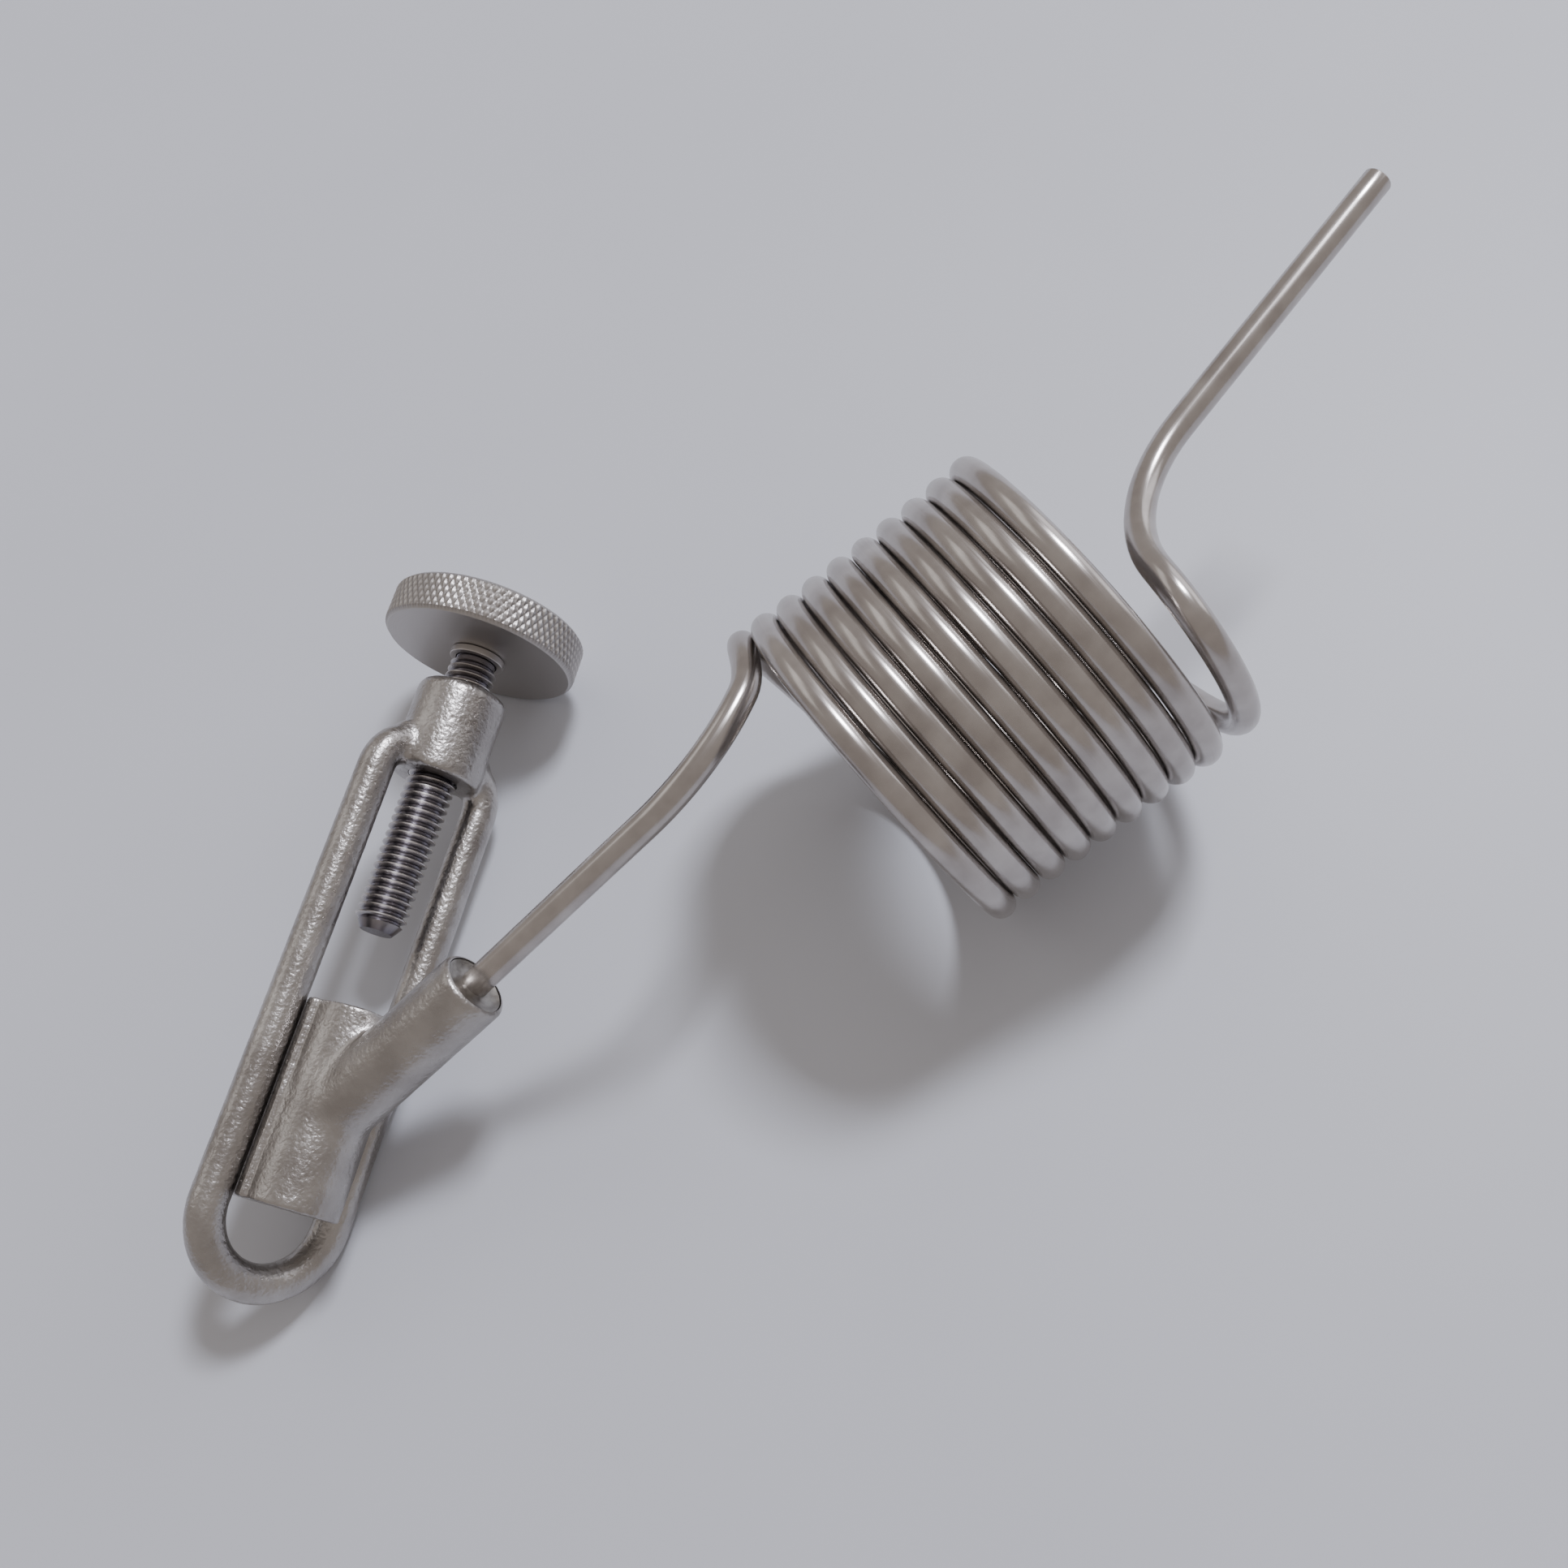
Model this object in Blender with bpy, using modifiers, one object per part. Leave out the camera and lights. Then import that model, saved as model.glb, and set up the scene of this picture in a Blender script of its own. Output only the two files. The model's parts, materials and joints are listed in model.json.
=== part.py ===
"""Clamp-on spring arm: a screw yoke, a sliding Y-socket jaw, and one coiled rod.

Metres, +Z up. The object lies on its side at z = 0, resting on the knob's rim, the bow of the
yoke and the coil's first turns. The origin is under the middle of its bounding box.
"""
import math

import bmesh
import bpy
from mathutils import Euler, Vector

MM = 0.001
CLEARANCE = 0.3 * MM                # air between pieces that touch

# Yoke: x runs along the screw from the boss to the bow, y from leg to leg, z toward the branch
YOKE_PLACE = Vector((-36.96, 15.53, 11.08)) * MM
YOKE_TURN = Euler((math.radians(-55.96), math.radians(3.10), math.radians(-136.08)))
LEG_SPACING = 14.8 * MM             # between the legs' centre lines
LEG_DIA = 4.3 * MM
BOSS_DIA = 10.9 * MM
BOSS_LENGTH = 11.6 * MM             # from x = -BOSS_LENGTH to x = 0
BOW_X = 51.8 * MM                   # centre of the bow's half circle
SHOULDER_RADIUS = 5.0 * MM          # where each leg turns into the boss
SHOULDER_X = 1.5 * MM               # end of each leg's straight run

# Screw: M6 stud with a knurled head
THREAD_DIA = 6.0 * MM
THREAD_PITCH = 1.0 * MM
STUD_DIA = THREAD_DIA - 0.6 * THREAD_PITCH      # pitch diameter, the thread's plain stand-in
STUD_TIP_X = 19.4 * MM
STUD_CONE = 1.4 * MM
STUD_TIP_DIA = 3.8 * MM
KNOB_DIA = 24.0 * MM
KNOB_THICKNESS = 5.0 * MM
KNOB_FACE_X = -16.8 * MM            # the knob's side that looks at the boss
KNOB_CHAMFER = 0.4 * MM
COLLAR_DIA = 8.0 * MM
COLLAR_LENGTH = 0.8 * MM

# Jaw: a round back with a saddle that runs between the legs, and a branch for the rod
JAW_START_X = 29.1 * MM
JAW_LENGTH = 22.0 * MM
JAW_BACK_DIA = 10.5 * MM
JAW_RISE = 3.7 * MM                 # the round back's axis above the legs' plane
SADDLE_WIDTH = 11.8 * MM
SADDLE_TOP = 3.4 * MM
SADDLE_BOTTOM = -3.4 * MM
BRANCH_ROOT_X = 41.6 * MM
BRANCH_ANGLE = math.radians(46.5)   # away from the screw's axis
BRANCH_CANT = math.radians(5.7)     # sideways lean, about the screw's axis
BRANCH_LENGTH = 24.8 * MM
BRANCH_DIA = 8.2 * MM
BRANCH_BORE_DIA = 7.0 * MM
BRANCH_BORE_DEPTH = 8.0 * MM
BRAZE_DISH = 1.0 * MM               # how far the braze is dished below the rim

# Rod: one length of wire, from the socket through the coil to the free end
ROD_DIA = 3.2 * MM
COIL_PLACE = Vector((19.58, -18.13, 23.49)) * MM
COIL_TURN = Euler((math.radians(26.52), math.radians(-15.55), math.radians(5.37)))
COIL_RADIUS = 18.97 * MM
COIL_FLARE = 0.45 * MM              # how much wider the end turns are
COIL_PITCH = 3.27 * MM
COIL_SLANT = -0.094                 # sideways step of each turn, as a share of its advance
LEAD_OUT = 0.63                     # extra pitch of the last half turn
MIDDLE_TURN = 4.75                  # turns from the start to the coil's middle
COIL_START = 0.04                   # angles where the tails join the coil
COIL_END = 18.885 * math.pi
POINTS_PER_TURN = 24
END_EASE = 0.03                     # a short first and last step keeps the ends square
SOCKET_END = Vector((-46.88, -14.82, 16.98)) * MM
INNER_BEND = Vector((-9.78, -14.87, 34.05)) * MM
INNER_BEND_RADIUS = 19.0 * MM
INNER_RUN = Vector((-3.60, -9.56, 32.77)) * MM      # where the run after the bend points
OUTER_RUN = Vector((36.63, -23.82, 38.41)) * MM     # where the run before the bend comes from
OUTER_BEND = Vector((38.90, -13.24, 33.38)) * MM
OUTER_BEND_RADIUS = 17.8 * MM
FREE_END = Vector((82.02, 0.15, 41.33)) * MM
INNER_PULL = 0.88                   # how far each tail's sweep into the coil bulges
OUTER_PULL = 1.53
SPLIT_ANGLE = 18.0 * math.pi        # the arm's node takes over from the coil here


def clear_scene():
    for leftover in list(bpy.data.objects):
        bpy.data.objects.remove(leftover, do_unlink=True)


def new_collection(name):
    collection = bpy.data.collections.new(name)
    bpy.context.scene.collection.children.link(collection)
    return collection


def steel(name, colour, roughness):
    material = bpy.data.materials.new(name)
    material.use_nodes = True
    shader = material.node_tree.nodes["Principled BSDF"]
    shader.inputs["Base Color"].default_value = (*colour, 1.0)
    shader.inputs["Metallic"].default_value = 1.0
    shader.inputs["Roughness"].default_value = roughness
    return material


def empty(name, collection, location, rotation, parent=None):
    obj = bpy.data.objects.new(name, None)
    collection.objects.link(obj)
    obj.location = location
    obj.rotation_euler = rotation
    obj.parent = parent
    return obj


def mesh_object(name, bm, collection, parent):
    mesh = bpy.data.meshes.new(name)
    bm.to_mesh(mesh)
    bm.free()
    mesh.shade_smooth()
    mesh.set_sharp_from_angle(angle=math.radians(35))
    obj = bpy.data.objects.new(name, mesh)
    collection.objects.link(obj)
    obj.parent = parent
    return obj


def finish(obj, material):
    obj.data.materials.clear()
    obj.data.materials.append(material)
    return obj


def boolean(target, cutter, operation):
    modifier = target.modifiers.new(cutter.name, "BOOLEAN")
    modifier.operation = operation
    modifier.solver = "EXACT"
    modifier.object = cutter
    cutter.hide_render = True
    cutter.display_type = "WIRE"


def turned_x(name, profile, collection, parent, steps=48):
    """A piece turned about x, from (x, radius) points listed from its +x end to its -x end."""
    bm = bmesh.new()
    points = [bm.verts.new((radius, 0.0, x)) for x, radius in profile]
    for first, second in zip(points, points[1:]):
        bm.edges.new((first, second))
    obj = mesh_object(name, bm, collection, parent)
    obj.rotation_euler = (0.0, math.pi / 2, 0.0)
    screw = obj.modifiers.new("Turn", "SCREW")
    screw.steps = steps
    screw.render_steps = steps
    screw.use_merge_vertices = True
    screw.merge_threshold = 0.00001
    return obj


def tube(name, points, diameter, collection, parent, resolution=2):
    """A round rod along a polyline, made a mesh with its caps welded on."""
    curve = bpy.data.curves.new(name, "CURVE")
    curve.dimensions = "3D"
    curve.twist_mode = "MINIMUM"
    curve.bevel_depth = diameter / 2
    curve.bevel_resolution = resolution
    curve.use_fill_caps = True
    spline = curve.splines.new("POLY")
    spline.points.add(len(points) - 1)
    for control, point in zip(spline.points, points):
        control.co = (*point, 1.0)
    source = bpy.data.objects.new(name + "_curve", curve)
    collection.objects.link(source)
    source.parent = parent
    bpy.context.view_layer.update()
    depsgraph = bpy.context.evaluated_depsgraph_get()
    mesh = bpy.data.meshes.new_from_object(source.evaluated_get(depsgraph))
    mesh.name = name
    bm = bmesh.new()
    bm.from_mesh(mesh)
    bmesh.ops.remove_doubles(bm, verts=bm.verts, dist=0.000001)
    bmesh.ops.recalc_face_normals(bm, faces=bm.faces)
    bm.to_mesh(mesh)
    bm.free()
    mesh.shade_smooth()
    mesh.set_sharp_from_angle(angle=math.radians(60))
    obj = bpy.data.objects.new(name, mesh)
    collection.objects.link(obj)
    obj.parent = parent
    obj.matrix_world = source.matrix_world
    bpy.data.objects.remove(source, do_unlink=True)
    return obj


def arc(centre, start, end, steps):
    """Points on the circle about centre, from start to end."""
    first = start - centre
    last = end - centre
    sweep = first.angle(last)
    points = []
    for index in range(steps + 1):
        share = index / steps
        mix = math.sin((1 - share) * sweep) * first + math.sin(share * sweep) * last
        points.append(centre + mix / math.sin(sweep))
    return points


def bend(before, corner, after, radius, steps=6):
    """The arc that rounds a corner between two straight runs."""
    back = (before - corner).normalized()
    ahead = (after - corner).normalized()
    half = back.angle(ahead) / 2
    reach = radius / math.tan(half)
    centre = corner + (back + ahead).normalized() * radius / math.sin(half)
    return arc(centre, corner + back * reach, corner + ahead * reach, steps)


def sweep_between(start, start_way, end, end_way, pull, steps=8):
    """A smooth curve that leaves start along start_way and reaches end along end_way."""
    reach = (end - start).length * pull
    points = []
    for index in range(1, steps):
        s = index / steps
        points.append((2 * s ** 3 - 3 * s ** 2 + 1) * start
                      + (s ** 3 - 2 * s ** 2 + s) * reach * start_way
                      + (3 * s ** 2 - 2 * s ** 3) * end
                      + (s ** 3 - s ** 2) * reach * end_way)
    return points


def coil_point(angle):
    """A point of the coil's centre line. The last half turn opens out toward the arm."""
    turn = angle / (2 * math.pi) - MIDDLE_TURN
    past = max(angle - SPLIT_ANGLE, 0.0) / math.pi
    along = COIL_PITCH * (turn + LEAD_OUT * past ** 2)
    radius = COIL_RADIUS + COIL_FLARE * (turn / MIDDLE_TURN) ** 4
    local = Vector((along, COIL_SLANT * along + radius * math.cos(angle), -radius * math.sin(angle)))
    return COIL_PLACE + COIL_TURN.to_matrix() @ local


def coil_way(angle):
    step = 0.001
    return (coil_point(angle + step) - coil_point(angle - step)).normalized()


def coil_run(start, end):
    """The coil's points from one angle to another, at angles that every turn shares."""
    step = 2 * math.pi / POINTS_PER_TURN
    first = math.floor(start / step + 0.5) + 1
    last = math.ceil(end / step - 0.5) - 1
    angles = [start, start + END_EASE] + [step * index for index in range(first, last + 1)]
    angles += [end - END_EASE, end]
    return [coil_point(angle) for angle in angles]


def spring_route():
    """From inside the socket, round the inner bend and through the coil to its last turn."""
    rounded = bend(SOCKET_END, INNER_BEND, INNER_RUN, INNER_BEND_RADIUS)
    run_way = (INNER_RUN - INNER_BEND).normalized()
    joined = sweep_between(rounded[-1], run_way, coil_point(COIL_START), coil_way(COIL_START), INNER_PULL)
    return [SOCKET_END] + rounded + joined + coil_run(COIL_START, SPLIT_ANGLE)


def arm_route():
    """From the coil's last turn up round the outer bend to the free end."""
    gap_angle = CLEARANCE / COIL_RADIUS
    rounded = bend(OUTER_RUN, OUTER_BEND, FREE_END, OUTER_BEND_RADIUS)
    run_way = (OUTER_BEND - OUTER_RUN).normalized()
    joined = sweep_between(coil_point(COIL_END), coil_way(COIL_END), rounded[0], run_way, OUTER_PULL)
    return coil_run(SPLIT_ANGLE + gap_angle, COIL_END) + joined + rounded + [FREE_END]


def build_yoke(parts, cutters, frame, material):
    """Two legs joined by a round bow at one end and by a bored boss at the other."""
    half = LEG_SPACING / 2
    shoulder_centre = Vector((SHOULDER_X, half - SHOULDER_RADIUS, 0.0))
    at_boss = shoulder_centre - Vector((SHOULDER_RADIUS, 0.0, 0.0))
    at_leg = shoulder_centre + Vector((0.0, SHOULDER_RADIUS, 0.0))
    shoulder = arc(shoulder_centre, at_boss, at_leg, 6)
    bow_centre = Vector((BOW_X, 0.0, 0.0))
    bow = [bow_centre + Vector((math.sin(turn), math.cos(turn), 0.0)) * half
           for turn in (math.pi * index / 24 for index in range(25))]
    mirrored = [Vector((point.x, -point.y, 0.0)) for point in reversed(shoulder)]
    yoke = tube("yoke", shoulder + bow + mirrored, LEG_DIA, parts, frame, resolution=4)
    boss = turned_x("boss", [(0.0, 0.0), (0.0, BOSS_DIA / 2 - 0.5 * MM), (-0.5 * MM, BOSS_DIA / 2),
                             (0.7 * MM - BOSS_LENGTH, BOSS_DIA / 2),
                             (-BOSS_LENGTH, BOSS_DIA / 2 - 0.7 * MM), (-BOSS_LENGTH, 0.0)], cutters, frame)
    bore = turned_x("boss_bore", [(2 * MM, 0.0), (2 * MM, STUD_DIA / 2 + CLEARANCE),
                                  (-BOSS_LENGTH - 2 * MM, STUD_DIA / 2 + CLEARANCE),
                                  (-BOSS_LENGTH - 2 * MM, 0.0)], cutters, frame)
    boolean(yoke, boss, "UNION")
    boolean(yoke, bore, "DIFFERENCE")
    return finish(yoke, material)


def build_stud(parts, frame, material):
    head_end = KNOB_FACE_X - CLEARANCE
    profile = [(STUD_TIP_X, 0.0), (STUD_TIP_X, STUD_TIP_DIA / 2), (STUD_TIP_X - STUD_CONE, STUD_DIA / 2),
               (head_end - 3 * MM, STUD_DIA / 2), (head_end - 3 * MM, 0.0)]
    return finish(turned_x("clamp_stud", profile, parts, frame), material)


def build_knob(parts, cutters, frame, material):
    """A knurled disc with a blind hole for the stud's end."""
    radius = KNOB_DIA / 2
    back = KNOB_FACE_X - KNOB_THICKNESS
    profile = [(KNOB_FACE_X, 0.0), (KNOB_FACE_X, radius - KNOB_CHAMFER), (KNOB_FACE_X - KNOB_CHAMFER, radius),
               (back + KNOB_CHAMFER, radius), (back, radius - KNOB_CHAMFER), (back, 0.0)]
    knob = turned_x("knurled_knob", profile, parts, frame, steps=64)
    hole_radius = STUD_DIA / 2 + CLEARANCE
    hole_end = KNOB_FACE_X - 3 * MM - 2 * CLEARANCE
    hole = turned_x("knob_hole", [(KNOB_FACE_X + MM, 0.0), (KNOB_FACE_X + MM, hole_radius),
                                  (hole_end, hole_radius), (hole_end, 0.0)], cutters, frame)
    boolean(knob, hole, "DIFFERENCE")
    return finish(knob, material)


def build_collar(parts, frame, material):
    """The stop ring round the stud, against the knob."""
    low = KNOB_FACE_X + CLEARANCE
    high = low + COLLAR_LENGTH
    inner = STUD_DIA / 2 + CLEARANCE
    outer = COLLAR_DIA / 2
    profile = [(high, inner), (high, outer), (low, outer), (low, inner), (high, inner)]
    return finish(turned_x("knob_collar", profile, parts, frame), material)


def saddle_outline():
    """The jaw's section: a round back over a saddle whose flanks are hollowed round the legs."""
    centre = Vector((0.0, JAW_RISE, 0.0))
    radius = JAW_BACK_DIA / 2
    half = SADDLE_WIDTH / 2
    groove = LEG_DIA / 2 + CLEARANCE
    leg = LEG_SPACING / 2
    dip = math.sqrt(groove ** 2 - (leg - half) ** 2)
    edge = math.asin((SADDLE_TOP - JAW_RISE) / radius)
    right = []
    for index in range(9):
        turn = math.pi / 2 + (edge - math.pi / 2) * index / 8
        right.append(centre + Vector((math.cos(turn), math.sin(turn), 0.0)) * radius)
    right.append(Vector((half, SADDLE_TOP, 0.0)))
    right += arc(Vector((leg, 0.0, 0.0)), Vector((half, dip, 0.0)), Vector((leg - groove, 0.0, 0.0)), 4)
    right += arc(Vector((leg, 0.0, 0.0)), Vector((leg - groove, 0.0, 0.0)), Vector((half, -dip, 0.0)), 4)[1:]
    right.append(Vector((half - 0.8 * MM, SADDLE_BOTTOM, 0.0)))
    left = [Vector((-point.x, point.y, 0.0)) for point in reversed(right) if point.x > 1e-9]
    return right + left


def build_socket(parts, cutters, frame, material):
    """The sliding jaw: the grooved saddle with its branch, bored for the rod."""
    bm = bmesh.new()
    corners = [bm.verts.new((JAW_START_X, point.x, point.y)) for point in saddle_outline()]
    face = bm.faces.new(corners)
    pulled = bmesh.ops.extrude_face_region(bm, geom=[face])["geom"]
    moved = [item for item in pulled if isinstance(item, bmesh.types.BMVert)]
    bmesh.ops.translate(bm, verts=moved, vec=(JAW_LENGTH, 0.0, 0.0))
    bmesh.ops.recalc_face_normals(bm, faces=bm.faces)
    socket = mesh_object("y_socket", bm, parts, frame)
    branch = branch_frame(cutters, frame)
    tube_out = turned_x("branch", [(BRANCH_LENGTH, 0.0), (BRANCH_LENGTH, BRANCH_DIA / 2 - 0.4 * MM),
                                   (BRANCH_LENGTH - 0.4 * MM, BRANCH_DIA / 2), (0.0, BRANCH_DIA / 2),
                                   (0.0, 0.0)], cutters, branch, steps=32)
    bore = turned_x("branch_bore", [(BRANCH_LENGTH + 2 * MM, 0.0),
                                    (BRANCH_LENGTH + 2 * MM, BRANCH_BORE_DIA / 2),
                                    (BRANCH_LENGTH - BRANCH_BORE_DEPTH, BRANCH_BORE_DIA / 2),
                                    (BRANCH_LENGTH - BRANCH_BORE_DEPTH, 0.0)], cutters, branch, steps=32)
    boolean(socket, tube_out, "UNION")
    boolean(socket, bore, "DIFFERENCE")
    return finish(socket, material)


def branch_frame(cutters, frame):
    """An empty at the branch's root whose x axis runs out through the branch's mouth."""
    side = Vector((0.0, math.sin(BRANCH_CANT), math.cos(BRANCH_CANT)))
    way = Vector((-math.cos(BRANCH_ANGLE), 0.0, 0.0)) + side * math.sin(BRANCH_ANGLE)
    turn = way.to_track_quat("X", "Z").to_euler()
    return empty("branch_frame", cutters, Vector((BRANCH_ROOT_X, 0.0, JAW_RISE)), turn, frame)


def build_braze(parts, cutters, branch, rod_cutter, material):
    """The braze that holds the rod in the branch, dished round it."""
    radius = BRANCH_BORE_DIA / 2 - CLEARANCE
    top = BRANCH_LENGTH - 0.3 * MM
    bottom = BRANCH_LENGTH - 5 * MM
    profile = [(top - BRAZE_DISH, 0.0), (top - 0.7 * BRAZE_DISH, 0.6 * radius), (top, radius),
               (bottom, radius), (bottom, 0.0)]
    braze = turned_x("socket_braze", profile, parts, branch, steps=24)
    boolean(braze, rod_cutter, "DIFFERENCE")
    return finish(braze, material)


def build():
    clear_scene()
    parts = new_collection("clamp_spring_arm")
    cutters = new_collection("cutters")
    cast = steel("cast_steel", (0.50, 0.48, 0.46), 0.38)
    satin = steel("satin_steel", (0.55, 0.53, 0.52), 0.34)
    drawn = steel("drawn_wire", (0.56, 0.54, 0.52), 0.26)
    braze = steel("braze", (0.45, 0.43, 0.40), 0.35)
    frame = empty("yoke_frame", cutters, YOKE_PLACE, YOKE_TURN)
    build_yoke(parts, cutters, frame, cast)
    build_stud(parts, frame, satin)
    build_knob(parts, cutters, frame, satin)
    build_collar(parts, frame, satin)
    build_socket(parts, cutters, frame, cast)
    finish(tube("coil_spring", spring_route(), ROD_DIA, parts, None), drawn)
    finish(tube("spring_arm", arm_route(), ROD_DIA, parts, None), drawn)
    tail = [SOCKET_END - (INNER_BEND - SOCKET_END).normalized() * 4 * MM,
            SOCKET_END + (INNER_BEND - SOCKET_END) * 0.6]
    rod_cutter = tube("rod_hole", tail, ROD_DIA + 2 * CLEARANCE, cutters, None)
    build_braze(parts, cutters, bpy.data.objects["branch_frame"], rod_cutter, braze)


build()
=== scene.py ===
"""Clamp-on spring arm in stainless steel, lying on a pale floor: the surfaces and the light."""
import json
import math

import bmesh
import bpy
import numpy as np
from mathutils import Euler, Matrix, Vector, noise


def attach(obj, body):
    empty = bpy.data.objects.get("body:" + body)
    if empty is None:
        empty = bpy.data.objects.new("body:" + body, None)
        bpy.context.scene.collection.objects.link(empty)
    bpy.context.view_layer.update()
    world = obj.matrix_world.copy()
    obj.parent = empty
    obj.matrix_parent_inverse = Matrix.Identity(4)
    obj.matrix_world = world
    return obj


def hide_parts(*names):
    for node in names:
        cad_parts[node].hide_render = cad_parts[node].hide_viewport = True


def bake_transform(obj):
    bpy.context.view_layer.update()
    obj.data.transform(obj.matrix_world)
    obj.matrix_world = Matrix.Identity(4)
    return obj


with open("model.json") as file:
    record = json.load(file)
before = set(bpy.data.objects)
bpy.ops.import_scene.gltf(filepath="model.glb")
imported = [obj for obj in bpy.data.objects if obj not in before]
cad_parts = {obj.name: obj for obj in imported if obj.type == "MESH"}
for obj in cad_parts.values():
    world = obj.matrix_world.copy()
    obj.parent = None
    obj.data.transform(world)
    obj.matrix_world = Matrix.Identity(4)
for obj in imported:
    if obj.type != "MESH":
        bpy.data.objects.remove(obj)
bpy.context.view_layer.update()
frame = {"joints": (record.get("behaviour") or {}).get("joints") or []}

MM = 0.001
JOINTS = {joint["name"]: joint for joint in frame["joints"]}


def axis_frame(joint, roll):
    """The frame at a joint whose x axis is the joint's axis, rolled about it."""
    axis = Vector(joint["axis"]).normalized()
    turn = Euler((roll, -math.asin(axis.z), math.atan2(axis.y, axis.x)))
    return Matrix.Translation(Vector(joint["pos_m"])) @ turn.to_matrix().to_4x4()


# The yoke's frame: x along the screw to the bow, y from leg to leg, z toward the branch.
YOKE = axis_frame(JOINTS["screw_turn"], math.radians(-55.96))
LEG_SPACING = 14.8 * MM
LEG_RADIUS = 2.15 * MM
BOSS_RADIUS = 5.45 * MM
BOSS_LENGTH = 11.6 * MM
BOW_X = 51.8 * MM
SHOULDER_RADIUS = 5.0 * MM
SHOULDER_X = 1.5 * MM
BORE_RADIUS = 3.03 * MM
WEB_SIZE = (4.8 * MM, 3.0 * MM, 2.0 * MM)
WEB_X = -2.6 * MM
WEB_Y = 5.0 * MM
YOKE_GRAIN = 0.2 * MM
PEBBLE_WIDTH = 1.0 * MM

# M6 by 1 stud and its knurled head
PITCH = 1.0 * MM
CREST_RADIUS = 2.95 * MM
ROOT_RADIUS = 2.36 * MM
TIP_X = 19.4 * MM
TIP_RADIUS = 1.9 * MM
TIP_CONE = 1.4 * MM
KNOB_RADIUS = 12.0 * MM
KNOB_FACE_X = -16.8 * MM
KNOB_THICKNESS = 5.0 * MM
KNURL_STARTS = 80
KNURL_ANGLE = math.radians(30)
KNURL_DEPTH = 0.17 * MM
KNURL_ROWS = 26
KNURL_GROOVE_SHARE = 0.8
KNOB_HOLE_RADIUS = 3.05 * MM
KNOB_HOLE_DEPTH = 2.2 * MM
NECK_RADIUS = 2.45 * MM

# Jaw with its branch
JAW_START_X = 29.1 * MM
JAW_END_X = 51.1 * MM
JAW_RADIUS = 5.25 * MM
JAW_RISE = 3.7 * MM
SADDLE_HALF = 5.9 * MM
SADDLE_TOP = 3.4 * MM
SADDLE_BOTTOM = -3.4 * MM
GROOVE_RADIUS = LEG_RADIUS + 0.3 * MM
BRANCH_ROOT = Vector((41.6 * MM, 0.0, JAW_RISE))
BRANCH_ANGLE = math.radians(46.5)
BRANCH_CANT = math.radians(5.7)
BRANCH_LENGTH = 24.8 * MM
BRANCH_RADIUS = 4.1 * MM
MOUTH_RADIUS = 3.5 * MM
MOUTH_DEPTH = 2.2 * MM
JAW_GRAIN = 0.19 * MM
BRAZE_LEVEL = BRANCH_LENGTH - 0.95 * MM
BRAZE_RISE = 0.74 * MM

# The rod's route, as the CAD lays it
ROD_RADIUS = 1.6 * MM
COIL = axis_frame(JOINTS["spring_flex"], math.radians(26.52))
COIL_RADIUS = 18.97 * MM
COIL_FLARE = 0.45 * MM
COIL_PITCH = 3.27 * MM
COIL_SLANT = -0.094
LEAD_OUT = 0.63
MIDDLE_TURN = 4.75
COIL_START = 0.04
COIL_END = 18.885 * math.pi
SPLIT_ANGLE = 18.0 * math.pi
SOCKET_END = Vector((-46.88, -14.82, 16.98)) * MM
INNER_BEND = Vector((-9.78, -14.87, 34.05)) * MM
INNER_BEND_RADIUS = 19.0 * MM
INNER_RUN = Vector((-3.60, -9.56, 32.77)) * MM
OUTER_RUN = Vector((36.63, -23.82, 38.41)) * MM
OUTER_BEND = Vector((38.90, -13.24, 33.38)) * MM
OUTER_BEND_RADIUS = 17.8 * MM
FREE_END = Vector((82.02, 0.15, 41.33)) * MM
INNER_PULL = 0.88
OUTER_PULL = 1.53
STEPS_PER_TURN = 64


# ---------------------------------------------------------------- geometry helpers

def branch_matrix():
    """The branch's frame inside the yoke's: x runs out through the mouth."""
    side = Vector((0.0, math.sin(BRANCH_CANT), math.cos(BRANCH_CANT)))
    way = Vector((-math.cos(BRANCH_ANGLE), 0.0, 0.0)) + side * math.sin(BRANCH_ANGLE)
    return Matrix.Translation(BRANCH_ROOT) @ way.to_track_quat("X", "Z").to_matrix().to_4x4()


BRANCH = branch_matrix()


def new_object(name, bm):
    mesh = bpy.data.meshes.new(name)
    bm.to_mesh(mesh)
    bm.free()
    obj = bpy.data.objects.new(name, mesh)
    bpy.context.scene.collection.objects.link(obj)
    return obj


def settle(obj):
    """Applies an object's modifiers and leaves it a plain mesh."""
    depsgraph = bpy.context.evaluated_depsgraph_get()
    mesh = bpy.data.meshes.new_from_object(obj.evaluated_get(depsgraph))
    obj.modifiers.clear()
    obj.data = mesh
    return obj


def boolean(obj, cutter, operation):
    modifier = obj.modifiers.new("Boolean", "BOOLEAN")
    modifier.operation = operation
    modifier.object = cutter
    settle(obj)
    bpy.data.objects.remove(cutter, do_unlink=True)
    return obj


def turned(profile, steps, matrix=Matrix.Identity(4)):
    """A bmesh turned about x from a profile of (x, radius) points."""
    bm = bmesh.new()
    points = [bm.verts.new((x, radius, 0.0)) for x, radius in profile]
    edges = [bm.edges.new(pair) for pair in zip(points, points[1:])]
    bmesh.ops.spin(bm, geom=points + edges, cent=(0, 0, 0), axis=(1, 0, 0),
                   angle=2 * math.pi, steps=steps, use_merge=True, dvec=(0, 0, 0))
    bmesh.ops.remove_doubles(bm, verts=bm.verts, dist=0.001 * MM)
    bmesh.ops.recalc_face_normals(bm, faces=bm.faces)
    bmesh.ops.transform(bm, matrix=matrix, verts=bm.verts)
    return bm


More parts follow.
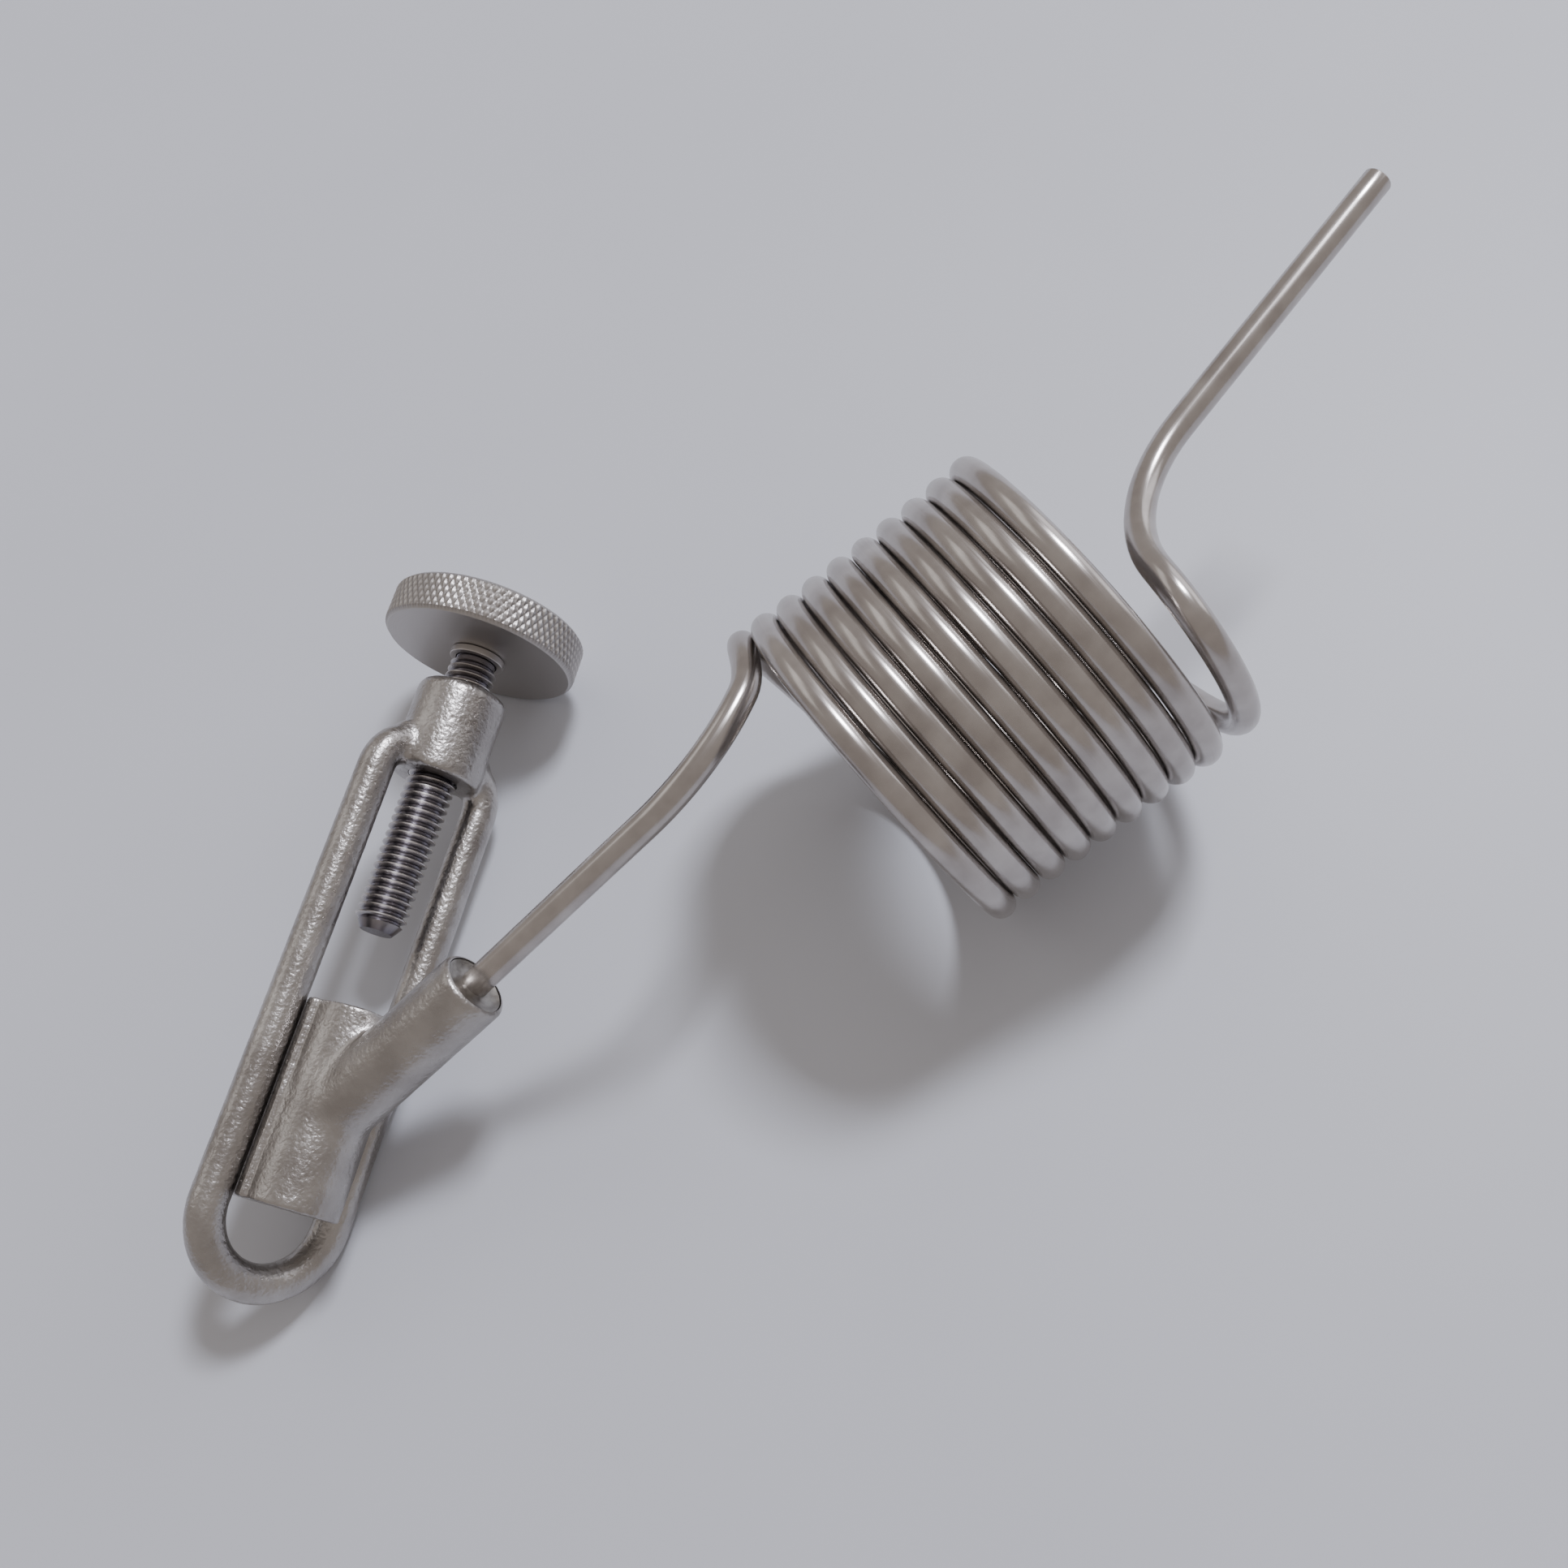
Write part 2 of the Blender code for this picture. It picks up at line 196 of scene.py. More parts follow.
def rounded(profile, radius, steps=4):
    """The profile with each inner corner rounded by an arc."""
    points = [Vector((x, y)) for x, y in profile]
    result = [points[0]]
    for before, corner, after in zip(points, points[1:], points[2:]):
        back = before - corner
        ahead = after - corner
        reach = min(radius, back.length * 0.45, ahead.length * 0.45)
        start = corner + back.normalized() * reach
        end = corner + ahead.normalized() * reach
        for index in range(steps + 1):
            t = index / steps
            result.append((1 - t) ** 2 * start + 2 * t * (1 - t) * corner + t ** 2 * end)
    result.append(points[-1])
    return [(point.x, point.y) for point in result]


def swept(points, radius, segments):
    """A round bar along a route; its UV map counts turns round it and metres along it."""
    bm = bmesh.new()
    layer = bm.loops.layers.uv.new("UVMap")
    ways = [(b - a).normalized() for a, b in zip(points, points[1:])]
    tangents = [ways[0]] + [(a + b).normalized() for a, b in zip(ways, ways[1:])] + [ways[-1]]
    start = Matrix.Translation(points[0]) @ tangents[0].to_track_quat("Z", "Y").to_matrix().to_4x4()
    ring = bmesh.ops.create_circle(bm, segments=segments, radius=radius, matrix=start)["verts"]
    place_of = {vert: (0.0, column) for column, vert in enumerate(ring)}
    travelled = 0.0
    for number in range(1, len(points)):
        edges = [next(edge for edge in vert.link_edges if edge.other_vert(vert) == following)
                 for vert, following in zip(ring, ring[1:] + ring[:1])]
        made = bmesh.ops.extrude_edge_only(bm, edges=edges)["geom"]
        fresh = [item for item in made if isinstance(item, bmesh.types.BMVert)]
        column_of = {}
        for vert in fresh:
            below = [edge.other_vert(vert) for edge in vert.link_edges if edge.other_vert(vert) in place_of]
            column_of[vert] = place_of[below[0]][1]
        turn = tangents[number - 1].rotation_difference(tangents[number]).to_matrix().to_4x4()
        move = Matrix.Translation(points[number]) @ turn @ Matrix.Translation(-points[number - 1])
        bmesh.ops.transform(bm, matrix=move, verts=fresh)
        travelled += (points[number] - points[number - 1]).length
        ring = sorted(fresh, key=column_of.get)
        place_of.update({vert: (travelled, column_of[vert]) for vert in ring})
    for face in bm.faces:
        columns = [place_of[loop.vert][1] for loop in face.loops]
        wraps = max(columns) - min(columns) > 1
        for loop, column in zip(face.loops, columns):
            across = segments if wraps and column == 0 else column
            loop[layer].uv = (across / segments, place_of[loop.vert][0])
    return bm


def cap_ends(bm, chamfer):
    """Closes each open end of a bar with a flat face and a small chamfer."""
    bmesh.ops.holes_fill(bm, edges=[edge for edge in bm.edges if edge.is_boundary], sides=0)
    bmesh.ops.recalc_face_normals(bm, faces=bm.faces)
    rims = [edge for face in bm.faces if len(face.verts) > 4 for edge in face.edges]
    bmesh.ops.bevel(bm, geom=rims, offset=chamfer, segments=2, affect="EDGES", profile=0.5, material=-1)
    return bm


def join(first, second):
    """Adds the second bmesh's shape to the first."""
    spare = bpy.data.meshes.new("spare")
    second.to_mesh(spare)
    second.free()
    first.from_mesh(spare)
    bpy.data.meshes.remove(spare)
    return first


def fused(name, bm, grain):
    """One even skin over the shapes that overlap in a bmesh."""
    obj = new_object(name, bm)
    remesh = obj.modifiers.new("Skin", "REMESH")
    remesh.mode = "VOXEL"
    remesh.voxel_size = grain
    return settle(obj)


def points_of(obj):
    places = np.zeros(len(obj.data.vertices) * 3)
    obj.data.vertices.foreach_get("co", places)
    return places.reshape(-1, 3)


def move_points(obj, places):
    obj.data.vertices.foreach_set("co", places.ravel())
    obj.data.update()


def soften(obj, weight, rounds):
    """Evens out the skin where weight(points) says so, from 0 to 1, as a wax fillet does."""
    places = points_of(obj)
    pairs = np.zeros(len(obj.data.edges) * 2, int)
    obj.data.edges.foreach_get("vertices", pairs)
    first, second = pairs.reshape(-1, 2).T
    here = np.concatenate([first, second])
    there = np.concatenate([second, first])
    neighbours = np.bincount(here, minlength=len(places))
    share = np.clip(weight(places), 0, 1)[:, None] * 0.5
    for _ in range(rounds):
        total = np.stack([np.bincount(here, places[there, axis], len(places)) for axis in range(3)], 1)
        places += share * (total / neighbours[:, None] - places)
    move_points(obj, places)


def soften_all(obj, rounds):
    soften(obj, lambda places: np.ones(len(places)), rounds)


def cast_relief(obj, width, depth):
    """Slow, shallow unevenness of a casting, raised and lowered along the normals."""
    normals = np.zeros(len(obj.data.vertices) * 3)
    obj.data.vertex_normals.foreach_get("vector", normals)
    lifts = [noise.noise(vert.co / width) + 0.5 * noise.noise(vert.co / (width * 0.4))
             for vert in obj.data.vertices]
    move_points(obj, points_of(obj) + normals.reshape(-1, 3) * np.array(lifts)[:, None] * depth)


def to_world(obj, matrix=YOKE):
    obj.data.transform(matrix)
    obj.data.update()
    return obj


def smooth(obj, angle=40):
    obj.data.shade_smooth()
    obj.data.set_sharp_from_angle(angle=math.radians(angle))
    return obj


def show(obj, material, body, slot, *nodes):
    obj.data.materials.clear()
    obj.data.materials.append(material)
    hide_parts(*nodes)
    if body:
        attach(obj, body)
    return obj


# ---------------------------------------------------------------- routes

def arc(centre, start, end, steps):
    """Points on a circle round centre, from start to end."""
    first = start - centre
    last = end - centre
    sweep = first.angle(last)
    points = []
    for index in range(steps + 1):
        share = index / steps
        mix = math.sin((1 - share) * sweep) * first + math.sin(share * sweep) * last
        points.append(centre + mix / math.sin(sweep))
    return points


def bend(before, corner, after, radius, steps):
    """The arc that rounds a corner of the route."""
    back = (before - corner).normalized()
    ahead = (after - corner).normalized()
    half = back.angle(ahead) / 2
    reach = radius / math.tan(half)
    centre = corner + (back + ahead).normalized() * radius / math.sin(half)
    return arc(centre, corner + back * reach, corner + ahead * reach, steps)


def sweep_between(start, start_way, end, end_way, pull, steps):
    """The points between two places whose directions are given, on one smooth curve."""
    reach = (end - start).length * pull
    points = []
    for index in range(1, steps):
        s = index / steps
        points.append((2 * s ** 3 - 3 * s ** 2 + 1) * start
                      + (s ** 3 - 2 * s ** 2 + s) * reach * start_way
                      + (3 * s ** 2 - 2 * s ** 3) * end
                      + (s ** 3 - s ** 2) * reach * end_way)
    return points


def coil_point(angle):
    """A place on the coil's middle line; its end turns flare a little and the last half turn leads out."""
    turn = angle / (2 * math.pi) - MIDDLE_TURN
    past = max(angle - SPLIT_ANGLE, 0.0) / math.pi
    along = COIL_PITCH * (turn + LEAD_OUT * past ** 2)
    radius = COIL_RADIUS + COIL_FLARE * (turn / MIDDLE_TURN) ** 4
    place = (along, COIL_SLANT * along + radius * math.cos(angle), -radius * math.sin(angle))
    return COIL @ Vector(place)


def coil_way(angle):
    step = 0.001
    return (coil_point(angle + step) - coil_point(angle - step)).normalized()


def straight(start, end, steps):
    return [start.lerp(end, index / steps) for index in range(steps)]


def rod_route():
    """The whole rod: socket, inner bend, coil, outer bend, free arm."""
    inner = bend(SOCKET_END, INNER_BEND, INNER_RUN, INNER_BEND_RADIUS, 16)
    outer = bend(OUTER_RUN, OUTER_BEND, FREE_END, OUTER_BEND_RADIUS, 16)
    inner_way = (INNER_RUN - INNER_BEND).normalized()
    outer_way = (OUTER_BEND - OUTER_RUN).normalized()
    length = COIL_END - COIL_START
    steps = round(length / (2 * math.pi) * STEPS_PER_TURN)
    coil = [coil_point(COIL_START + length * index / steps) for index in range(steps + 1)]
    points = straight(SOCKET_END, inner[0], 6) + inner
    points += sweep_between(inner[-1], inner_way, coil[0], coil_way(COIL_START), INNER_PULL, 12)
    points += coil
    points += sweep_between(coil[-1], coil_way(COIL_END), outer[0], outer_way, OUTER_PULL, 20)
    points += outer
    points += straight(outer[-1], FREE_END, 8)[1:] + [FREE_END]
    return points


# ---------------------------------------------------------------- materials

def linear(code):
    """Linear colour of an sRGB hex code."""
    values = [int(code[index:index + 2], 16) / 255 for index in (1, 3, 5)]
    return [v / 12.92 if v <= 0.04045 else ((v + 0.055) / 1.055) ** 2.4 for v in values] + [1.0]


def add(tree, kind, settings=None, inputs=None, stops=()):
    """A node with its settings. An input is a value or another node's socket; stops are a ramp's colours."""
    made = tree.nodes.new(kind)
    for name, value in (settings or {}).items():
        setattr(made, name, value)
    for name, value in (inputs or {}).items():
        if isinstance(value, bpy.types.NodeSocket):
            tree.links.new(value, made.inputs[name])
        else:
            made.inputs[name].default_value = value
    for index, (position, colour) in enumerate(stops):
        made.color_ramp.elements[index].position = position
        made.color_ramp.elements[index].color = colour
    return made


def new_material(name):
    material = bpy.data.materials.new(name)
    material.use_nodes = True
    tree = material.node_tree
    return material, tree, tree.nodes["Principled BSDF"]


def grey(value):
    return (value, value, value, 1.0)


def blasted_castings(name, heat):
    """Investment-cast stainless, glass-bead blasted: a fine orange peel that sparkles in the light."""
    peel_width = 0.48 * MM
    # The dimples of single beads are too fine to show, so they are drawn this wide.
    pit_width = 0.42 * MM
    cloud_width = 5 * MM
    material, tree, shader = new_material(name)
    place = add(tree, "ShaderNodeTexCoord").outputs["Object"]
    peel = add(tree, "ShaderNodeTexNoise", {},
               {"Vector": place, "Scale": 1 / peel_width, "Detail": 2.0, "Roughness": 0.55}).outputs["Fac"]
    pits = add(tree, "ShaderNodeTexVoronoi", {"feature": "SMOOTH_F1"},
               {"Vector": place, "Scale": 1 / pit_width, "Smoothness": 0.6}).outputs["Distance"]
    cloud = add(tree, "ShaderNodeTexNoise", {},
                {"Vector": place, "Scale": 1 / cloud_width, "Detail": 4.0}).outputs["Fac"]
    coarse = add(tree, "ShaderNodeBump", {}, {"Height": peel, "Distance": 0.075 * MM}).outputs["Normal"]
    fine = add(tree, "ShaderNodeBump", {},
               {"Height": pits, "Distance": 0.03 * MM, "Normal": coarse}).outputs["Normal"]
    tone = add(tree, "ShaderNodeValToRGB", {}, {"Fac": cloud},
               [(0.35, linear("#A19D9A")), (0.68, linear("#BAB7B4"))]).outputs["Color"]
    if heat:
        amount = add(tree, "ShaderNodeAttribute", {"attribute_name": "heat"}).outputs["Fac"]
        tone = add(tree, "ShaderNodeMix", {"data_type": "RGBA"},
                   {"Factor": amount, "A": tone, "B": linear("#8A7360")}).outputs["Result"]
    rough = add(tree, "ShaderNodeValToRGB", {}, {"Fac": peel}, [(0.3, grey(0.27)), (0.7, grey(0.38))])
    tree.links.new(tone, shader.inputs["Base Color"])
    tree.links.new(fine, shader.inputs["Normal"])
    tree.links.new(rough.outputs["Color"], shader.inputs["Roughness"])
    shader.inputs["Metallic"].default_value = 1.0
    return material


def drawn_wire():
    """Bright drawn spring wire: long die lines, a little straw-brown where the brazing heat ran up it."""
    # Die lines are finer than this; they are drawn as coarse as they need to be to show.
    line_width = 0.12 * MM
    line_length = 14 * MM
    cloud_width = 4 * MM
    material, tree, shader = new_material("bright_drawn_spring_wire")
    uv = add(tree, "ShaderNodeUVMap", {"uv_map": "UVMap"}).outputs["UV"]
    scale = (2 * math.pi * ROD_RADIUS / line_width, 1 / line_length, 1)
    lines = add(tree, "ShaderNodeMapping", {}, {"Vector": uv, "Scale": scale}).outputs["Vector"]
    streak = add(tree, "ShaderNodeTexNoise", {},
                 {"Vector": lines, "Scale": 1.0, "Detail": 2.0}).outputs["Fac"]
    place = add(tree, "ShaderNodeTexCoord").outputs["Object"]
    cloud = add(tree, "ShaderNodeTexNoise", {},
                {"Vector": place, "Scale": 1 / cloud_width, "Detail": 4.0}).outputs["Fac"]
    tone = add(tree, "ShaderNodeValToRGB", {}, {"Fac": cloud},
               [(0.3, linear("#A9A39F")), (0.7, linear("#C1BCB8"))]).outputs["Color"]
    amount = add(tree, "ShaderNodeAttribute", {"attribute_name": "heat"}).outputs["Fac"]
    tinted = add(tree, "ShaderNodeMix", {"data_type": "RGBA"},
                 {"Factor": amount, "A": tone, "B": linear("#826F67")}).outputs["Result"]
    rough = add(tree, "ShaderNodeValToRGB", {}, {"Fac": streak}, [(0.3, grey(0.19)), (0.7, grey(0.27))])
    relief = add(tree, "ShaderNodeBump", {}, {"Height": streak, "Distance": 0.0015 * MM})
    tree.links.new(tinted, shader.inputs["Base Color"])
    tree.links.new(rough.outputs["Color"], shader.inputs["Roughness"])
    tree.links.new(relief.outputs["Normal"], shader.inputs["Normal"])
    # The drawing film on the wire scatters a little light, so it isn't fully metallic.
    shader.inputs["Metallic"].default_value = 0.93
    return material


def turned_steel(name, painted_root_shade, light, roughness, line_width):
    """Machined stainless: fine rings left by the tool, and painted shade that makes the roots darker than
    the crests.
    """
    material, tree, shader = new_material(name)
    radius = add(tree, "ShaderNodeAttribute", {"attribute_name": "radius"}).outputs["Fac"]
    scaled = add(tree, "ShaderNodeMath", {"operation": "MULTIPLY"}, {0: radius, 1: 1 / line_width})
    rings = add(tree, "ShaderNodeTexNoise", {"noise_dimensions": "1D"},
                {"W": scaled.outputs["Value"], "Scale": 1.0, "Detail": 2.0}).outputs["Fac"]
    # Painted shade: the colour goes from the darker root tone in a root to the lighter tone on a crest.
    root_shade_to_crest = add(tree, "ShaderNodeAttribute", {"attribute_name": "root_shade_to_crest"}).outputs["Fac"]
    tone = add(tree, "ShaderNodeMix", {"data_type": "RGBA"},
               {"Factor": root_shade_to_crest, "A": linear(painted_root_shade), "B": linear(light)}).outputs["Result"]
    rough = add(tree, "ShaderNodeValToRGB", {}, {"Fac": rings},
                [(0.3, grey(roughness - 0.05)), (0.7, grey(roughness + 0.06))])
    relief = add(tree, "ShaderNodeBump", {}, {"Height": rings, "Distance": 0.006 * MM})
    tree.links.new(tone, shader.inputs["Base Color"])
    tree.links.new(rough.outputs["Color"], shader.inputs["Roughness"])
    tree.links.new(relief.outputs["Normal"], shader.inputs["Normal"])
    shader.inputs["Metallic"].default_value = 1.0
    return material


def silver_braze():
    """Solidified braze: dull, slightly pitted, with a skin that wrinkles as it cools."""
    wrinkle_width = 0.9 * MM
    material, tree, shader = new_material("silver_braze_fill")
    place = add(tree, "ShaderNodeTexCoord").outputs["Object"]
    skin = add(tree, "ShaderNodeTexNoise", {},
               {"Vector": place, "Scale": 1 / wrinkle_width, "Detail": 5.0}).outputs["Fac"]
    tone = add(tree, "ShaderNodeValToRGB", {}, {"Fac": skin},
               [(0.35, linear("#8F8B86")), (0.65, linear("#AEABA6"))])
    relief = add(tree, "ShaderNodeBump", {}, {"Height": skin, "Distance": 0.05 * MM})
    tree.links.new(tone.outputs["Color"], shader.inputs["Base Color"])
    tree.links.new(relief.outputs["Normal"], shader.inputs["Normal"])
    shader.inputs["Metallic"].default_value = 1.0
    shader.inputs["Roughness"].default_value = 0.36
    return material


def matt_floor():
    """Matt laminate: even, pale and faintly cool."""
    cloud_width = 60 * MM
    material, tree, shader = new_material("matt_pale_laminate")
    place = add(tree, "ShaderNodeTexCoord").outputs["Object"]
    cloud = add(tree, "ShaderNodeTexNoise", {},
                {"Vector": place, "Scale": 1 / cloud_width, "Detail": 3.0}).outputs["Fac"]
    tone = add(tree, "ShaderNodeValToRGB", {}, {"Fac": cloud},
               [(0.3, linear("#C8CBD3")), (0.7, linear("#CBCED6"))])
    tree.links.new(tone.outputs["Color"], shader.inputs["Base Color"])
    shader.inputs["Roughness"].default_value = 0.5
    return material


def attribute(obj, name, values):
    layer = obj.data.attributes.get(name) or obj.data.attributes.new(name, "FLOAT", "POINT")
    layer.data.foreach_set("value", np.asarray(values, np.float32))


def lathe_rings_and_root_shade(obj, low, high):
    """Marks radius, which grows outward and along x, for the tool rings, and a painted-shade share that goes
    from 0 in a root, fully shaded, to 1 on top.
    """
    places = points_of(obj)
    radius = np.hypot(places[:, 1], places[:, 2])
    attribute(obj, "radius", radius + places[:, 0] * 0.7)
    attribute(obj, "root_shade_to_crest", np.clip((radius - low) / (high - low), 0, 1))


# ---------------------------------------------------------------- pieces

def yoke_piece(material):
    """One casting: two round legs joined by a bow, and the bored boss with a web to each leg."""
    half = LEG_SPACING / 2
    centre = Vector((SHOULDER_X, half - SHOULDER_RADIUS, 0.0))
    shoulder = arc(centre, centre - Vector((SHOULDER_RADIUS, 0, 0)),
                   centre + Vector((0, SHOULDER_RADIUS, 0)), 12)
    bow = [Vector((BOW_X + math.sin(turn) * half, math.cos(turn) * half, 0.0))
           for turn in (math.pi * index / 40 for index in range(41))]
    mirrored = [Vector((point.x, -point.y, 0.0)) for point in reversed(shoulder)]
    bar = swept(shoulder + bow + mirrored, LEG_RADIUS, 32)
    bmesh.ops.holes_fill(bar, edges=[edge for edge in bar.edges if edge.is_boundary], sides=0)
    bmesh.ops.recalc_face_normals(bar, faces=bar.faces)
    outline = rounded([(0.0, 0.0), (0.0, BOSS_RADIUS - 0.1 * MM), (-0.9 * MM, BOSS_RADIUS),
                       (0.8 * MM - BOSS_LENGTH, BOSS_RADIUS), (-BOSS_LENGTH, BOSS_RADIUS - 0.5 * MM),
                       (-BOSS_LENGTH, 0.0)], 0.6 * MM)
    for side in (-1, 1):
        place = Matrix.Translation((WEB_X, side * WEB_Y, 0.0))
        bmesh.ops.create_cube(bar, size=1.0, matrix=place @ Matrix.Diagonal((*WEB_SIZE, 1.0)))
    obj = fused("yoke_casting", join(bar, turned(outline, 64)), YOKE_GRAIN)

    def shoulder_zone(places):
        radial = np.abs(np.hypot(places[:, 1], places[:, 2]) - BOSS_RADIUS)
        height = np.abs(places[:, 2])
        inside = (places[:, 0] > -7.5 * MM) & (places[:, 0] < 0.5 * MM) & (height < 3.6 * MM)
        return (1.4 - np.maximum(radial, height - LEG_RADIUS) / (1.6 * MM)) * inside

    soften(obj, shoulder_zone, 60)
    soften_all(obj, 2)
    cast_relief(obj, PEBBLE_WIDTH, 0.022 * MM)
    bore = turned([(2 * MM, 0.0), (2 * MM, BORE_RADIUS), (-BOSS_LENGTH - 2 * MM, BORE_RADIUS),
                   (-BOSS_LENGTH - 2 * MM, 0.0)], 48)
    boolean(obj, new_object("bore", bore), "DIFFERENCE")
    show(smooth(to_world(obj)), material, "yoke", "cast_steel", "yoke")


def thread_bar():
    """A helical skin, one start, trimmed square at both ends."""
    bm = bmesh.new()
    first = KNOB_FACE_X - 3.5 * MM
    periods = math.ceil((TIP_X - first) / PITCH) + 2
    stations = [(0.0, ROOT_RADIUS), (0.22, ROOT_RADIUS), (0.54, CREST_RADIUS), (0.68, CREST_RADIUS)]
    points = [bm.verts.new((first + (turn + share) * PITCH, radius, 0.0))
              for turn in range(periods) for share, radius in stations]
    edges = [bm.edges.new(pair) for pair in zip(points, points[1:])]
    steps = 48
    bmesh.ops.spin(bm, geom=points + edges, cent=(0, 0, 0), axis=(1, 0, 0), angle=2 * math.pi,
                   steps=steps, use_merge=False, dvec=(PITCH / steps, 0, 0))
    bmesh.ops.remove_doubles(bm, verts=bm.verts, dist=0.002 * MM)
    for place, normal in ((first + 1.6 * PITCH, -1), (first + (periods - 1.6) * PITCH, 1)):
        bmesh.ops.bisect_plane(bm, geom=bm.verts[:] + bm.edges[:] + bm.faces[:], plane_co=(place, 0, 0),
                               plane_no=(normal, 0, 0), clear_outer=True)
    bmesh.ops.holes_fill(bm, edges=[edge for edge in bm.edges if edge.is_boundary], sides=0)
    bmesh.ops.recalc_face_normals(bm, faces=bm.faces)
    return bm


def stud_piece(material):
    """The thread cut to a plain neck at the knob and a cone at the tip."""
    obj = new_object("threaded_stud", thread_bar())
    start = KNOB_FACE_X - 1.7 * MM
    big = CREST_RADIUS + 0.2 * MM
    envelope = [(TIP_X, 0.0), (TIP_X, TIP_RADIUS), (TIP_X - TIP_CONE, CREST_RADIUS - 0.1 * MM),
                (TIP_X - TIP_CONE - 0.3 * MM, big), (KNOB_FACE_X + 1.9 * MM, big),
                (KNOB_FACE_X + 1.6 * MM, NECK_RADIUS), (KNOB_FACE_X + 0.9 * MM, NECK_RADIUS),
                (start, NECK_RADIUS), (start, 0.0)]
    boolean(obj, new_object("envelope", turned(envelope, 64)), "INTERSECT")
    # Marks the thread roots for painted shade.
    lathe_rings_and_root_shade(obj, ROOT_RADIUS, CREST_RADIUS)
    show(smooth(to_world(obj), 30), material, "screw", "satin_steel", "clamp_stud")


def knob_piece(material):
    """A disc with chamfered edges, its rim cut by two crossing sets of knurl grooves."""
    back = KNOB_FACE_X - KNOB_THICKNESS
    chamfer = 0.45 * MM
    rim_low = back + chamfer
    rim_high = KNOB_FACE_X - chamfer
    profile = [(KNOB_FACE_X - KNOB_HOLE_DEPTH, 0.0), (KNOB_FACE_X - KNOB_HOLE_DEPTH, KNOB_HOLE_RADIUS),
               (KNOB_FACE_X, KNOB_HOLE_RADIUS), (KNOB_FACE_X, 6 * MM), (KNOB_FACE_X, 9 * MM),
               (KNOB_FACE_X, KNOB_RADIUS - chamfer - 0.1 * MM),
               (KNOB_FACE_X - 0.05 * MM, KNOB_RADIUS - chamfer)]
    profile += [(rim_high + (rim_low - rim_high) * row / KNURL_ROWS, KNOB_RADIUS)
                for row in range(KNURL_ROWS + 1)]
    profile += [(back + 0.05 * MM, KNOB_RADIUS - chamfer), (back, KNOB_RADIUS - chamfer - 0.1 * MM),
                (back, 8 * MM), (back, 4 * MM), (back + 0.1 * MM, 3.2 * MM),
                (back + 0.25 * MM, 1.5 * MM), (back + 0.3 * MM, 0.0)]
    bm = turned(profile, KNURL_STARTS * 8)
    lead = math.tan(KNURL_ANGLE) / KNOB_RADIUS
    for vert in bm.verts:
        radius = math.hypot(vert.co.y, vert.co.z)
        if radius < KNOB_RADIUS - 0.02 * MM:
            continue
        angle = math.atan2(vert.co.z, vert.co.y)
        cut = 0.0
        for hand in (1, -1):
            phase = (angle + hand * lead * (vert.co.x - back)) * KNURL_STARTS / (2 * math.pi)
            off = abs(phase - round(phase)) * 2
            cut = max(cut, 1 - off / KNURL_GROOVE_SHARE)
        scale = 1 - cut * KNURL_DEPTH / radius
        vert.co.y *= scale
        vert.co.z *= scale
    obj = new_object("knurled_knob_rim", bm)
    lathe_rings_and_root_shade(obj, KNOB_RADIUS - KNURL_DEPTH, KNOB_RADIUS)
    # Painted shade in the knurl grooves: the colour darkens toward the groove bottoms; the flat faces get a
    # fixed mix of three quarters toward the lighter tone.
    places = points_of(obj)
    radius = np.hypot(places[:, 1], places[:, 2])
    root_shade_to_crest = np.where(radius < KNOB_RADIUS - 0.4 * MM, 0.75,
                     (radius - KNOB_RADIUS + KNURL_DEPTH) / KNURL_DEPTH)
    attribute(obj, "root_shade_to_crest", np.clip(root_shade_to_crest, 0, 1))
    show(smooth(to_world(obj), 25), material, "screw", "satin_steel", "knurled_knob")


def collar_piece(material):
    """The small stop ring round the stud, against the knob's face."""
    low = KNOB_FACE_X + 0.05 * MM
    high = low + 0.85 * MM
    inner = 2.6 * MM
    outer = 3.35 * MM
    bm = turned(rounded([(high, inner), (high, outer), (low, outer), (low, inner)], 0.12 * MM)
                + [(high, inner)], 64)
    obj = new_object("stop_collar", bm)
    # Painted shade: the ring's colour darkens toward the bore.
    lathe_rings_and_root_shade(obj, 0.0, outer)
    show(smooth(to_world(obj), 30), material, "screw_carrier", "satin_steel", "knob_collar")


def saddle_outline():
    """The jaw's section, from its crown round one side to the bottom, then mirrored."""
    edge = math.asin((SADDLE_TOP - JAW_RISE) / JAW_RADIUS)
    leg = LEG_SPACING / 2
    dip = math.sqrt(GROOVE_RADIUS ** 2 - (leg - SADDLE_HALF) ** 2)
    right = [Vector((math.cos(turn) * JAW_RADIUS, JAW_RISE + math.sin(turn) * JAW_RADIUS, 0.0))
             for turn in (math.pi / 2 + (edge - math.pi / 2) * index / 16 for index in range(17))]
    right.append(Vector((SADDLE_HALF, SADDLE_TOP, 0.0)))
    groove = Vector((leg, 0.0, 0.0))
    deepest = Vector((leg - GROOVE_RADIUS, 0.0, 0.0))
    right += arc(groove, Vector((SADDLE_HALF, dip, 0.0)), deepest, 6)
    right += arc(groove, deepest, Vector((SADDLE_HALF, -dip, 0.0)), 6)[1:]
    right.append(Vector((SADDLE_HALF - 0.8 * MM, SADDLE_BOTTOM, 0.0)))
    left = [Vector((-point.x, point.y, 0.0)) for point in reversed(right) if point.x > 1e-9]
    return right + left


